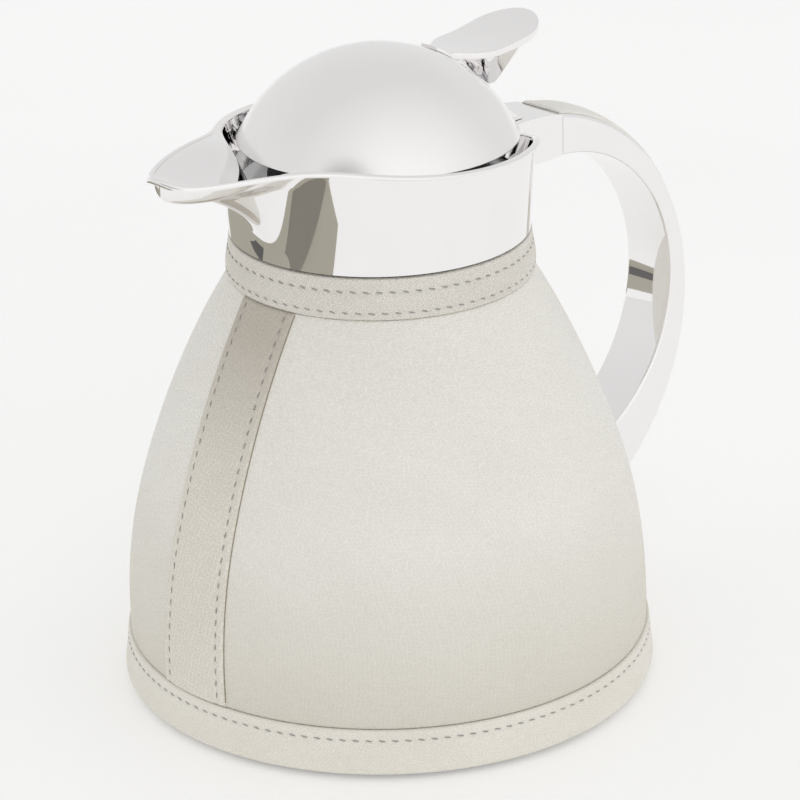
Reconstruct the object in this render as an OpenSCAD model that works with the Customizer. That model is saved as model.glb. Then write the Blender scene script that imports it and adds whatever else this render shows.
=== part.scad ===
// Leather-covered vacuum carafe with a chrome collar, pouring spout, lever lid and loop handle.
// Origin: centre of the foot on the table. +Z up, spout towards -X, handle towards +X, mm.

/* [Leather body] */
// Widest radius of the leather body
belly_r = 75; // [74.5:0.1:75.2]
// Height of the widest point above the table
belly_z = 21; // [20:0.5:22]
// Radius of the lower stretch of the bell profile
lower_arc_r = 150; // [148:1:152]
// Radius of the upper stretch of the bell profile
upper_arc_r = 250; // [248:1:252]
// Angle at which the lower stretch hands over to the upper one
arc_change_deg = 17; // [16.8:0.1:17.2]
// Height of the top edge of the base band
hem_z = 15; // [13:0.5:17]
// Radius of the base band at the foot
foot_r = 77; // [76.5:0.1:78]
// Thickness of the leather
leather_t = 1.6; // [1.4:0.1:1.6]
// Width of the seam strip at the foot
strip_w_low = 25; // [20:1:28]
// Width of the seam strip under the neck band
strip_w_high = 20.5; // [16:0.5:22]

/* [Neck and collar] */
// Height of the bottom edge of the neck band
band_z = 122; // [121.5:0.1:122.5]
// Height of the bottom edge of the collar
collar_z = 134.3; // [134.2:0.1:134.5]
// Outer radius of the collar at its bottom edge
collar_r = 42.2; // [42:0.1:42.4]
// Height of the collar's rolled rim
rim_z = 161; // [160.8:0.1:161.2]
// Distance of the spout's tip from the axis
spout_reach = 80.7; // [78:0.1:83]
// Half angle over which the spout flares out of the rim
spout_spread_deg = 19.3; // [18:0.1:20.5]

/* [Lid] */
// Radius of the dome
dome_r = 43.3; // [43:0.1:43.4]
// Height of the dome's centre of curvature
dome_z = 142.4; // [142.2:0.1:142.6]
// Height of the dome's lower edge
dome_rim_z = 160.3; // [160.2:0.1:160.4]
// Sheet thickness of the dome
dome_t = 1.2; // [1:0.1:1.4]
// Distance of the lid hinge from the axis
hinge_x = 42.5; // [42.4:0.1:42.6]
// Height of the lid hinge
hinge_z = 157.4; // [157.3:0.1:157.5]

/* [Thumb lever] */
// Width of the thumb plate
paddle_w = 22.4; // [20:0.2:26]
// Distance from the axis to the rear end of the thumb plate
paddle_end_x = 59; // [57:0.5:60]
// Radius of the hollow in the thumb plate
paddle_dish_r = 70; // [60:1:90]

/* [Handle] */
// Width of the handle
handle_w = 18; // [16:0.5:18]
// Distance from the axis to the centre of the handle's outer arc
outer_arc_x = 50.2; // [50:0.1:50.4]
// Height of the centre of the handle's outer arc
outer_arc_z = 86.6; // [86.4:0.1:86.8]
// Radius of the handle's outer arc
outer_arc_radius = 68; // [67.8:0.1:68.2]
// Distance from the axis to the centre of the handle's inner arc
inner_arc_x = 62.5; // [62:0.1:63]
// Height of the centre of the handle's inner arc
inner_arc_z = 92; // [91.5:0.1:92.5]
// Radius of the handle's inner arc
inner_arc_radius = 48.6; // [48:0.1:49]
// Distance from the axis to the seam between block and handle
seam_x = 64.3; // [63:0.1:65]
// Width of the leather inlay
inlay_w = 15; // [12:0.5:15]

/* [Vacuum liner] */
// Air gap between the casing and the liner
air_gap = 2.6; // [2.4:0.1:3]
// Thickness of the glass
glass_t = 1.4; // [1.2:0.1:1.6]
// Width of the evacuated space between the two flasks
vacuum_gap = 4.4; // [4:0.1:5]
// Radius of the liner's mouth
mouth_r = 24.8; // [24.6:0.1:25.2]

/* [Screw base] */
// Radius of the threaded bore in the base ring
thread_r = 60; // [58:0.5:60]
// Height of the screw plate's skirt
thread_h = 7; // [5:0.5:7]

/* [Hidden] */
$fn = 96;

LEATHER = [0.86, 0.84, 0.78];
CHROME = [0.82, 0.83, 0.85];
STEEL = [0.62, 0.63, 0.65];
GLASS = [0.75, 0.85, 0.85, 0.5];
RUBBER = [0.2, 0.2, 0.21];
PLASTIC = [0.12, 0.12, 0.13];

shell_t = 1;                      // casing sheet
fit_gap = 0.05;                   // radial clearance of a running or located fit
move_gap = 0.3;                   // clearance between parts that move apart
shell_d = leather_t + shell_t;    // depth of the casing's inner face below the leather
glass_out_d = shell_d + air_gap;
glass_in_d = glass_out_d + glass_t + vacuum_gap;
band_top_z = collar_z - 0.7;
neck_top_z = collar_z - 0.4;
neck_r = 40.6;                    // outer radius of the casing's neck
foot_pad_h = 1.6;
plate_top_z = 3.9;
seat_z = 145;                     // flat seat for the plug gasket
seat_t = 3;
outer_arc_top = outer_arc_z + outer_arc_radius;
dome_rim_r = sqrt(dome_r * dome_r - pow(dome_rim_z - dome_z, 2));

// ---- bell profile: two arcs that share a tangent, d is the depth below the leather surface ----

lower_x = belly_r - lower_arc_r;
upper_x = lower_x + (lower_arc_r - upper_arc_r) * cos(arc_change_deg);
upper_z = belly_z + (lower_arc_r - upper_arc_r) * sin(arc_change_deg);

function bell_point(a, d) = a <= arc_change_deg
    ? [lower_x + (lower_arc_r - d) * cos(a), belly_z + (lower_arc_r - d) * sin(a)]
    : [upper_x + (upper_arc_r - d) * cos(a), upper_z + (upper_arc_r - d) * sin(a)];

change_z = bell_point(arc_change_deg, 0)[1];

function bell_angle(z, d) = z < change_z
    ? asin((z - belly_z) / (lower_arc_r - d))
    : asin((z - upper_z) / (upper_arc_r - d));

function bell(d, z_low, z_high, steps = 24) =
    let (a0 = bell_angle(z_low, d), a1 = bell_angle(z_high, d))
    [for (i = [0:steps]) bell_point(a0 + (a1 - a0) * i / steps, d)];

function bell_r(z, d) = z <= belly_z ? belly_r - d : bell_point(bell_angle(z, d), d)[0];

function reversed(list) = [for (i = [len(list) - 1:-1:0]) list[i]];

// Skin between two depths, straight below the widest point
module bell_skin(d_out, d_in, z_low, z_high) {
    rotate_extrude()
        polygon(concat(
            [[belly_r - d_in, z_low], [belly_r - d_out, z_low]],
            bell(d_out, belly_z, z_high),
            reversed(bell(d_in, belly_z, z_high))));
}

// Everything inside the surface at depth d
module bell_core(d, z_low, z_high) {
    rotate_extrude()
        polygon(concat([[0, z_low], [belly_r - d, z_low]], bell(d, belly_z, z_high), [[0, z_high]]));
}

// Point on a cubic curve through a and d, steered by b and c
function bezier(a, b, c, d, t) =
    a * pow(1 - t, 3) + 3 * b * t * pow(1 - t, 2) + 3 * c * t * t * (1 - t) + d * pow(t, 3);

module ring(r_in, r_out, z_low, z_high) {
    translate([0, 0, z_low])
        difference() {
            cylinder(r = r_out, h = z_high - z_low);
            translate([0, 0, -1]) cylinder(r = r_in, h = z_high - z_low + 2);
        }
}

// Round bar along Y
module bar_y(x, z, r, y_low, y_high) {
    translate([x, y_low, z])
        rotate([-90, 0, 0]) cylinder(r = r, h = y_high - y_low);
}

// Outline in X and Z, as wide as w in Y
module slab_xz(w) {
    translate([0, w / 2, 0])
        rotate([90, 0, 0]) linear_extrude(w) children();
}

// ---- casing and leather ----

module outer_shell() {
    color(STEEL)
        difference() {
            rotate_extrude()
                polygon(concat(
                    [[belly_r - shell_d, 2], [belly_r - leather_t, 2]],
                    bell(leather_t, belly_z, band_z),
                    [[neck_r, band_z + 0.5], [neck_r, neck_top_z],
                     [neck_r - shell_t, neck_top_z], [neck_r - shell_t, band_z + 0.5]],
                    reversed(bell(shell_d, belly_z, band_z))));
            stud_axis() cylinder(r = stud_r + fit_gap, h = 90);
        }
}

// Fixed ring in the foot of the casing that takes the screw base
module base_ring() {
    color(STEEL)
        rotate_extrude()
            polygon([[thread_r, plate_top_z + move_gap],
                     [belly_r - shell_d - fit_gap, plate_top_z + move_gap],
                     [belly_r - shell_d - fit_gap, 6.2], [thread_r + 2.5, 6.2],
                     [thread_r + 2.5, 12], [thread_r, 12]]);
}

module body_leather() {
    color(LEATHER)
        difference() {
            bell_skin(0, leather_t, hem_z, band_z);
            stud_axis() cylinder(r = stud_r + fit_gap, h = 90);
        }
}

// Strip that covers the seam under the spout
module front_strip() {
    strip_t = 0.9;
    color(LEATHER)
        intersection() {
            bell_skin(-strip_t - fit_gap, -fit_gap, hem_z + 0.1, band_z - 0.1);
            translate([-belly_r - 10, 0, 0])
                rotate([90, 0, 90])
                    linear_extrude(belly_r)
                        polygon([[-strip_w_low / 2, hem_z], [strip_w_low / 2, hem_z],
                                 [strip_w_high / 2, band_z], [-strip_w_high / 2, band_z]]);
        }
}

module neck_band() {
    band_low_r = bell_r(band_z, 0) + 0.7;
    band_high_r = collar_r + 0.1;
    color(LEATHER)
        rotate_extrude()
            polygon([[neck_r + fit_gap, band_z + 0.5], [band_low_r - 1.8, band_z + 0.1],
                     [band_low_r - 0.3, band_z + 0.1], [band_low_r, band_z + 0.4],
                     [band_high_r + 0.1, band_top_z - 0.4], [band_high_r - 0.2, band_top_z],
                     [neck_r + fit_gap, band_top_z]]);
}

module base_band() {
    edge = 2.4;
    band_r = belly_r - leather_t;
    color(LEATHER)
        rotate_extrude()
            polygon(concat(
                [[band_r, hem_z - 0.1], [band_r, 1.3]],
                [for (a = [-90:15:0]) [foot_r - edge + edge * cos(a), 1.3 + edge + edge * sin(a)]],
                [[belly_r + 0.8, hem_z - 0.5], [belly_r + 0.4, hem_z - 0.1]]));
}

// ---- collar with spout ----
// Three sections share one list of points: plain wall, spout keel and lowered rear.
// Each direction round the axis takes its own mixture of them.

LOW_STEPS = 8;                    // section steps up to the break in the wall
HIGH_STEPS = 5;                   // steps from the break to the rim
INNER_STEPS = 5;
LIP_DEG = [-25, 15, 50, 90, 130, 165];
LIP_START = LOW_STEPS + HIGH_STEPS + 1;
ring_count = 96;
break_share = 0.86;               // height of the break as a share of the wall
bead_flat = 0.6;                  // height of the rim's bead over its width
tip_bead_r = 1.2;                 // radius of the rim at the spout's tip
tip_z = 165.6;
tip_rise = 2.4;                   // further rise of the last stretch of the spout
inner_r = 40;                     // bore of the collar at its bottom
inner_step_z = 147;               // the bore widens above this height
rear_z = 152.5;                   // lowered rim behind the lid hinge
rear_r = 42.9;                    // outer radius of the wall there

function lip(x, z, r, flat = 1) = [for (a = LIP_DEG) [x + r * cos(a), z + flat * r * sin(a)]];

function line(a, b, n, first = 0) = [for (i = [first:n]) a + (b - a) * i / n];

function curve(a, b, c, d, n, first = 0) = [for (i = [first:n]) bezier(a, b, c, d, i / n)];

function wall_section(top_r, top_z, lip_r) =
    let (lip_h = bead_flat * lip_r, foot = [collar_r, collar_z], high = [top_r, top_z - 2 * lip_h],
         mid = foot + (high - foot) * break_share)
    concat(line(foot, mid, LOW_STEPS), line(mid, high, HIGH_STEPS, 1),
           lip(top_r + 0.2, top_z - lip_h, lip_r, bead_flat),
           line([top_r - 0.9, top_z - 1.4 * lip_h], [inner_r, inner_step_z], 2 * INNER_STEPS),
           [[inner_r, collar_z]]);

function keel_section() =
    let (r = tip_bead_r, throat = [spout_reach - 18.2, 156.8], inner_throat = [spout_reach - 20.7, 160.4])
    concat(curve([collar_r, collar_z], [43.5, 146], [51, 151.8], throat, LOW_STEPS),
           curve(throat, [spout_reach - 10.7, 160.2], [spout_reach - 2.5, 154.8],
                 [spout_reach - 0.7 * r, tip_z - 1.7 * r], HIGH_STEPS, 1),
           lip(spout_reach - r, tip_z - r, r),
           curve([spout_reach - 2.1 * r, tip_z - 1.4 * r], [spout_reach - 5.7, 161.6],
                 [spout_reach - 12.7, 160.6], inner_throat, INNER_STEPS),
           curve(inner_throat, [50, 159.6], [42, 155], [inner_r, inner_step_z], INNER_STEPS, 1),
           [[inner_r, collar_z]]);

WALL = wall_section(43.8, rim_z, 1.1);
REAR = wall_section(rear_r, rear_z, 0.8);
KEEL = keel_section();

function bump(angle, width, power = 2) = exp(-pow(abs(angle) / width, power));

// Broad lift of the rim on both sides of the spout
function rim_lift(p) = 5.1 * (bump(p, 60) - bump(p, 14.5));

// How much narrower the spout is at point j of the section than at the rim
function narrowing(j) = 1 + 9 * (j < LIP_START
    ? sqrt(1 - j / LIP_START)
    : j < LIP_START + len(LIP_DEG) ? 0 : 4.5 * max(0, rim_z - WALL[j][1]) / (rim_z - collar_z));

// One point of the section in direction p, degrees from the spout
function collar_point(p, j) =
    let (k = pow(bump(p, spout_spread_deg, 1.8), narrowing(j)), b = bump(180 - abs(p), 38),
         q = WALL[j] * (1 - k - b) + KEEL[j] * k + REAR[j] * b,
         up = min(1, max(0, (q[1] - collar_z) / (rim_z - collar_z))),
         z = q[1] + rim_lift(p) * up * up + tip_rise * bump(p, 5) * pow(q[0] / spout_reach, 8))
    [-q[0] * cos(p), -q[0] * sin(p), z];

// Directions lie closer together at the spout than at the rear
function ring_angle(i) =
    let (u = 2 * i / ring_count - 1)
    180 * sign(u) * pow(abs(u), 1.5);

module collar() {
    m = len(WALL);
    points = [for (i = [0:ring_count - 1], j = [0:m - 1]) collar_point(ring_angle(i), j)];
    faces = [for (i = [0:ring_count - 1], j = [0:m - 1], half = [0, 1])
        let (a = i * m + j, b = i * m + (j + 1) % m,
             c = ((i + 1) % ring_count) * m + (j + 1) % m, d = ((i + 1) % ring_count) * m + j)
        half == 0 ? [a, c, b] : [a, d, c]];
    color(CHROME) polyhedron(points, faces, convexity = 6);
}

// Turned ring in the collar: seat of the plug and holder of the liner's mouth
module throat_ring() {
    skirt_r = neck_r - shell_t - 0.1;
    skirt_t = 1.5;
    skirt_low_z = 128;
    rim_r = inner_r - 0.1;
    cone_r = 31.5;
    bore_r = mouth_r - 0.3;
    color(STEEL)
        rotate_extrude()
            polygon([[skirt_r - skirt_t, skirt_low_z], [skirt_r, skirt_low_z], [skirt_r, collar_z - 0.2],
                     [rim_r, collar_z], [rim_r, seat_z + 2.2], [cone_r, seat_z], [bore_r, seat_z],
                     [bore_r, seat_z - seat_t], [skirt_r - skirt_t, seat_z - seat_t]]);
}

// ---- vacuum liner ----

mouth_z = seat_z - 5.5;
shoulder_z = 103;
base_corner = 22;                 // radius between the flask's wall and base
outer_base_z = 13.5;
inner_base_z = 19;
mouth_flange = 5.8;               // the flasks join this far outside the mouth
neck_low_z = 117;
neck_step = 3;

// Half outline of a flask from the axis to the mouth
function flask(d, z_base, neck, z_top) =
    let (z1 = z_base + base_corner, x1 = bell_r(z1, d) - base_corner)
    concat([[0, z_base]],
           [for (a = [-90:10:-10]) [x1 + base_corner * cos(a), z1 + base_corner * sin(a)]],
           bell(d, z1, shoulder_z),
           [for (i = [0:2]) [neck + [4, 1, 0][i], neck_low_z + i * neck_step - d / 8]], [[neck, z_top]]);

module glass_inner() {
    color(GLASS)
        rotate_extrude()
            polygon(concat(
                flask(glass_in_d, inner_base_z, mouth_r + glass_t, mouth_z - glass_t),
                [[mouth_r + mouth_flange, mouth_z - glass_t], [mouth_r + mouth_flange, mouth_z]],
                reversed(flask(glass_in_d + glass_t, inner_base_z + glass_t, mouth_r, mouth_z))));
}

module glass_outer() {
    color(GLASS)
        rotate_extrude()
            polygon(concat(
                flask(glass_out_d, outer_base_z, mouth_r + mouth_flange, mouth_z - glass_t),
                reversed(flask(glass_out_d + glass_t, outer_base_z + glass_t,
                               mouth_r + mouth_flange - glass_t, mouth_z - glass_t))));
}

module mouth_gasket() {
    color(RUBBER) ring(mouth_r, mouth_r + mouth_flange + 0.4, mouth_z, seat_z - seat_t);
}

// Rubber ring under the liner
module liner_cushion() {
    color(RUBBER) ring(12, 40, plate_top_z + move_gap, outer_base_z);
}

// ---- screw base ----

module base_plate() {
    color(STEEL)
        difference() {
            union() {
                translate([0, 0, foot_pad_h]) cylinder(r = thread_r + 10, h = plate_top_z - foot_pad_h);
                ring(thread_r - 3, thread_r - fit_gap, plate_top_z - 1, plate_top_z + thread_h);
            }
            ring(thread_r + 2.4, thread_r + 6.1, plate_top_z - 1, plate_top_z + 1);
        }
}

module base_gasket() {
    color(RUBBER) ring(thread_r + 2.5, thread_r + 6, plate_top_z - 0.95, plate_top_z + 0.2);
}

module foot_pad() {
    color(RUBBER) cylinder(r = thread_r + 8, h = foot_pad_h);
}

// ---- handle ----

seat_gap = 0.15;                  // solder gap between the block and the collar
dowel_r = 2;
dowel_y = 5;
dowel_z = 147;
dowel_len = 18;
stud_r = 2;
stud_z = 34;
stud_from = 69.4;                 // inner end of the stud, distance from the axis
stud_len = 14.5;
nut_r = 4;
nut_h = 1.3;
inlay_top_deg = acos((seam_x - outer_arc_x) / outer_arc_radius);
inlay_low_deg = -61;

module stud_axis() {
    translate([0, 0, stud_z]) rotate([0, 90, 0]) children();
}

module dowels(r) {
    for (side = [-1, 1])
        translate([seam_x - dowel_len / 2, side * dowel_y, dowel_z])
            rotate([0, 90, 0]) cylinder(r = r, h = dowel_len);
}

// Crescent between the two handle arcs
module handle_outline() {
    difference() {
        translate([outer_arc_x, outer_arc_z]) circle(r = outer_arc_radius);
        translate([inner_arc_x, inner_arc_z]) circle(r = inner_arc_radius);
        translate([-belly_r, 0]) square([belly_r + seam_x, 200]);
    }
}

module handle_frame() {
    color(CHROME)
        difference() {
            slab_xz(handle_w) handle_outline();
            bell_core(-fit_gap, hem_z, band_z);
            dowels(dowel_r + fit_gap);
            stud_axis() cylinder(r = stud_r + fit_gap, h = stud_from + stud_len + 0.2);
        }
}

// Cast block between the collar and the handle
module handle_block() {
    block_low_z = inner_arc_z + inner_arc_radius + 0.1;
    color(CHROME)
        difference() {
            slab_xz(handle_w)
                intersection() {
                    translate([outer_arc_x, outer_arc_z]) circle(r = outer_arc_radius);
                    translate([collar_r - 4, block_low_z])
                        square([seam_x - fit_gap - collar_r + 4, 20]);
                }
            translate([0, 0, collar_z])
                cylinder(r1 = collar_r + seat_gap, r2 = rear_r + seat_gap, h = rear_z - collar_z);
            translate([0, 0, rear_z - 2.2]) cylinder(r = rear_r + 1 + seat_gap, h = 12);
            dowels(dowel_r + fit_gap);
        }
}

// Crowned leather strip on the outer face of the handle, from the seam down to the body
module handle_inlay() {
    edge_h = 0.7;
    crown_h = 2.2;
    steps = 5;
    half_w = inlay_w / 2;
    color(LEATHER)
        translate([outer_arc_x, 0, outer_arc_z])
            rotate([90, 0, 0])
                rotate_extrude(angle = inlay_top_deg - inlay_low_deg, start = inlay_low_deg)
                    polygon(concat(
                        [[outer_arc_radius + fit_gap, -half_w], [outer_arc_radius + edge_h, -half_w]],
                        [for (i = [1 - steps:steps - 1])
                            [outer_arc_radius + edge_h + (crown_h - edge_h) * (1 - pow(i / steps, 2)),
                             half_w * i / steps]],
                        [[outer_arc_radius + edge_h, half_w], [outer_arc_radius + fit_gap, half_w]]));
}

module handle_dowels() {
    color(STEEL)
        intersection() {
            dowels(dowel_r);
            translate([seam_x - dowel_len / 2 + 0.1, -handle_w / 2, 0])
                cube([dowel_len - 0.2, handle_w, 200]);
        }
}

// Threaded stud that ties the lower end of the handle to the casing
module handle_stud() {
    color(STEEL)
        stud_axis() translate([0, 0, stud_from]) cylinder(r = stud_r, h = stud_len);
}

module stud_nut() {
    color(STEEL)
        stud_axis()
            translate([0, 0, stud_from + 0.3])
                difference() {
                    cylinder(r = nut_r, h = nut_h, $fn = 6);
                    translate([0, 0, -1]) cylinder(r = stud_r + fit_gap, h = nut_h + 2, $fn = 48);
                }
}

// ---- lid hinge ----

pin_r = 1.25;
ear_in = 4.3;
ear_out = 6.4;
knuckle_in = 2.1;
ear_r = 2.6;
foot_x = 45.6;                    // front edge of the bracket's foot plate
foot_len = 5.4;
bracket_z = outer_arc_top + fit_gap;

module ear_outline() {
    ear_end_x = foot_x + 3.4;
    translate([hinge_x, hinge_z]) circle(r = ear_r);
    polygon([[hinge_x, bracket_z], [ear_end_x, bracket_z], [ear_end_x, bracket_z + 1.05],
             [hinge_x + 1.4, hinge_z + 2.19], [hinge_x, hinge_z]]);
}

// Bracket on the block that carries the hinge pin
module hinge_bracket() {
    color(CHROME)
        difference() {
            union() {
                for (side = [-1, 1])
                    translate([0, side * (ear_in + ear_out) / 2, 0])
                        slab_xz(ear_out - ear_in) ear_outline();
                translate([foot_x, -ear_out, bracket_z]) cube([foot_len, 2 * ear_out, 1]);
            }
            bar_y(hinge_x, hinge_z, pin_r + fit_gap, -10, 10);
        }
}

module hinge_pin() {
    color(STEEL) {
        bar_y(hinge_x, hinge_z, pin_r, -ear_out - 0.2, ear_out + 0.2);
        for (side = [-1, 1])
            translate([0, side * (ear_out + 0.35), 0])
                bar_y(hinge_x, hinge_z, pin_r + 0.5, -0.25, 0.25);
    }
}

// Leaf that joins the lid to the pin, with two knuckles
module hinge_leaf() {
    arm_top = dome_rim_z - fit_gap;
    arm_low = hinge_z + 0.6;
    arm_from = 28;
    color(STEEL)
        difference() {
            union() {
                bar_y(hinge_x, hinge_z, 2.4, -ear_in + move_gap, ear_in - move_gap);
                translate([arm_from, -ear_in + move_gap, arm_low])
                    cube([hinge_x - arm_from, 2 * (ear_in - move_gap), arm_top - arm_low]);
            }
            bar_y(hinge_x, hinge_z, pin_r + fit_gap, -10, 10);
            bar_y(hinge_x, hinge_z, 3, -knuckle_in, knuckle_in);
        }
}

// Coil of round wire, axis along Z from the origin
module coil(mean_r, wire_r, pitch, turns, sides, per_turn) {
    n = turns * per_turn;
    points = [for (i = [0:n], k = [0:sides - 1])
        let (a = 360 * i / per_turn, b = 360 * k / sides, r = mean_r + wire_r * cos(b))
        [r * cos(a), r * sin(a), pitch * i / per_turn + wire_r * sin(b)]];
    sides_faces = [for (i = [0:n - 1], k = [0:sides - 1], half = [0, 1])
        let (p = i * sides + k, q = i * sides + (k + 1) % sides)
        half == 0 ? [p, q, q + sides] : [p, q + sides, p + sides]];
    ends = [[for (k = [sides - 1:-1:0]) k], [for (k = [0:sides - 1]) n * sides + k]];
    polyhedron(points, concat(sides_faces, ends), convexity = 10);
}

module hinge_spring() {
    color(STEEL)
        translate([hinge_x, 1.5, hinge_z])
            rotate([90, 0, 0]) coil(1.85, 0.35, 0.75, 4, 6, 16);
}

// ---- lid ----

screw_deg = [35, 48];             // directions of the lever screws, from the X axis up
screw_r = 1.2;

module lever_screw_axes() {
    for (a = screw_deg)
        translate([0, 0, dome_z]) rotate([0, 90 - a, 0]) children();
}

module lid_dome() {
    color(CHROME)
        difference() {
            translate([0, 0, dome_z]) sphere(r = dome_r);
            translate([0, 0, dome_z]) sphere(r = dome_r - dome_t);
            translate([0, 0, dome_rim_z - 150]) cylinder(r = 90, h = 150);
            lever_screw_axes() cylinder(r = screw_r + fit_gap, h = 50);
        }
}

module lid_plate() {
    plate_t = 1.25;
    plate_r = sqrt(pow(dome_r - dome_t, 2) - pow(dome_rim_z + plate_t - dome_z, 2)) - 0.15;
    color(STEEL)
        translate([0, 0, dome_rim_z]) cylinder(r = plate_r, h = plate_t);
}

tongue_x = 24;                    // front end of the tongue and of the thumb plate
paddle_x = paddle_end_x - paddle_w / 2;

// Outline of the thumb plate seen from above: narrow at the dome, round behind
module paddle_outline() {
    hull() {
        translate([paddle_x, 0]) circle(d = paddle_w);
        translate([tongue_x + 12, 0]) circle(d = paddle_w - 0.8);
        translate([tongue_x + 1.5, 0]) circle(r = 4.5);
    }
}

// Thumb lever: tongue on the dome, wedge-shaped stem and dished thumb plate
module thumb_lever() {
    dish_x = 33;
    dish_low_z = 179.1;
    plate_t = 2.1;
    tongue_t = 1.1;
    color(CHROME)
        difference() {
            union() {
                intersection() {
                    translate([0, 0, 170]) linear_extrude(20) paddle_outline();
                    dish(dish_x, dish_low_z, plate_t);
                }
                intersection() {
                    hull() {
                        translate([paddle_x, 0, dish_low_z + 3.4])
                            cylinder(d = paddle_w - 0.6, h = 1, $fn = 48);
                        translate([tongue_x + 12, 0, dish_low_z - 1])
                            cylinder(d = paddle_w - 2.4, h = 0.5, $fn = 48);
                        translate([41.5, -2, 166]) cube([2.5, 4, 1]);
                    }
                    dish(dish_x, dish_low_z, 30);
                }
                intersection() {
                    translate([0, 0, dome_z]) sphere(r = dome_r + tongue_t);
                    translate([0, 0, 160]) linear_extrude(30)
                        hull() {
                            translate([tongue_x, 0]) circle(r = 5);
                            translate([tongue_x + 13.5, 0]) circle(r = 5.5);
                        }
                    translate([20, -20, 164.3]) cube([40, 40, 30]);
                }
            }
            translate([0, 0, dome_z]) sphere(r = dome_r + 0.02);
            lever_screw_axes() cylinder(r = screw_r + fit_gap, h = dome_r + 3.6);
        }
}

// Slab under the hollow of the thumb plate, reaching depth below it
module dish(x, z, depth) {
    translate([x, 20, z + paddle_dish_r])
        rotate([90, 0, 0])
            difference() {
                cylinder(r = paddle_dish_r + depth, h = 40, $fn = 360);
                translate([0, 0, -1]) cylinder(r = paddle_dish_r, h = 42, $fn = 360);
            }
}

module lever_screws() {
    color(STEEL)
        lever_screw_axes() {
            translate([0, 0, dome_r - dome_t - 1.3]) cylinder(r = 2 * screw_r, h = 1.2);
            translate([0, 0, dome_r - dome_t - 0.2]) cylinder(r = screw_r, h = dome_t + 3.5);
        }
}

// ---- sealing plug ----

post_r = 5;
plug_r = 31;
plug_low_z = 148.2;
hub_r = 8;
hub_top_z = plug_low_z + 7.8;
plug_t = 3.3;
plug_screw_r = 1.5;
spring_wire_r = 0.6;

module plug_post() {
    color(STEEL)
        difference() {
            union() {
                translate([0, 0, plug_low_z + 0.5]) cylinder(r = post_r, h = dome_rim_z - plug_low_z - 0.5);
                translate([0, 0, dome_rim_z - 1.5]) cylinder(r = post_r + 3, h = 1.5);
            }
            translate([0, 0, plug_low_z]) cylinder(r = plug_screw_r + fit_gap, h = 8);
        }
}

module plug_screw() {
    color(STEEL) {
        translate([0, 0, plug_low_z - 0.9]) cylinder(r = 7.5, h = 1.4);
        translate([0, 0, plug_low_z]) cylinder(r = plug_screw_r, h = 7.5);
    }
}

module seal_plug() {
    color(PLASTIC)
        rotate_extrude()
            polygon([[post_r + fit_gap, plug_low_z + 0.8], [hub_r, plug_low_z + 0.8], [hub_r, plug_low_z],
                     [plug_r, plug_low_z], [plug_r, plug_low_z + plug_t - 1],
                     [plug_r - 1, plug_low_z + plug_t], [hub_r, plug_low_z + plug_t],
                     [hub_r, hub_top_z], [post_r + fit_gap, hub_top_z]]);
}

module plug_gasket() {
    color(RUBBER) ring(mouth_r + 0.8, plug_r, seat_z + move_gap, plug_low_z);
}

module plug_spring() {
    low = plug_low_z + plug_t + spring_wire_r;
    high = dome_rim_z - spring_wire_r;
    turns = 4;
    color(STEEL)
        translate([0, 0, low + 0.05])
            coil(hub_r + 2.5, spring_wire_r, (high - low - 0.1) / turns, turns, 8, 24);
}

outer_shell();
base_ring();
body_leather();
front_strip();
neck_band();
base_band();
collar();
throat_ring();
mouth_gasket();
glass_inner();
glass_outer();
handle_block();
handle_frame();
handle_inlay();
handle_dowels();
handle_stud();
stud_nut();
hinge_bracket();
hinge_pin();
hinge_spring();
liner_cushion();
base_plate();
base_gasket();
foot_pad();
lid_dome();
lid_plate();
hinge_leaf();
thumb_lever();
lever_screws();
plug_post();
plug_screw();
plug_spring();
seal_plug();
plug_gasket();
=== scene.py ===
import math

import bmesh
import bpy
import numpy as np
from mathutils import Matrix, Vector


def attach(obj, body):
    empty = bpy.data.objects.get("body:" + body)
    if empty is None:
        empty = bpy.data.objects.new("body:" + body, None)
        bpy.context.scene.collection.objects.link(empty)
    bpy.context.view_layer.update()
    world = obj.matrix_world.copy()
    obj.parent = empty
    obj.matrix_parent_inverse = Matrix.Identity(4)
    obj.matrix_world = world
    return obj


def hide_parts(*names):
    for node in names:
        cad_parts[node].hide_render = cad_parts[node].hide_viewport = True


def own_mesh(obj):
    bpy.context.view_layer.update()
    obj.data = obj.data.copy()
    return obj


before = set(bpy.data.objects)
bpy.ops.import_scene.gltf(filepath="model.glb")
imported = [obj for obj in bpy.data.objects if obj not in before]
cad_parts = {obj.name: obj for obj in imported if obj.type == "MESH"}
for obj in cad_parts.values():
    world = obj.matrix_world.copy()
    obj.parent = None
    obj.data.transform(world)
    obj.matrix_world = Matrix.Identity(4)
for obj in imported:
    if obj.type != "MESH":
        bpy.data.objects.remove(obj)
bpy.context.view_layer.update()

MM = 0.001  # shapes below are in millimetres, like the part's own source
rng = np.random.default_rng(7)


# ---------------------------------------------------------------- camera and view

VIEW_AZIMUTH = -43.0
VIEW_PITCH = 22.41
VIEW_PAN = 0.28
VIEW_ROLL = -1.2
VIEW_PLACE = (-0.6372, -0.6833, 0.4664)
LENS_MM, SENSOR_MM = 159.7, 36
camera = bpy.data.objects.new("camera", bpy.data.cameras.new("camera"))
bpy.context.collection.objects.link(camera)
camera.data.sensor_width = SENSOR_MM
camera.data.lens = LENS_MM
camera.data.clip_start, camera.data.clip_end = 0.05, 20
camera.location = VIEW_PLACE
camera.rotation_mode = "XYZ"
camera.rotation_euler = (math.radians(90 - VIEW_PITCH), 0, math.radians(VIEW_AZIMUTH - VIEW_PAN))
camera.rotation_euler = (camera.rotation_euler.to_matrix()
                         @ Matrix.Rotation(math.radians(VIEW_ROLL), 3, "Z")).to_euler()
bpy.context.scene.camera = camera

view = bpy.context.scene.view_settings
view.view_transform = "Standard"
view.look = "None"


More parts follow.
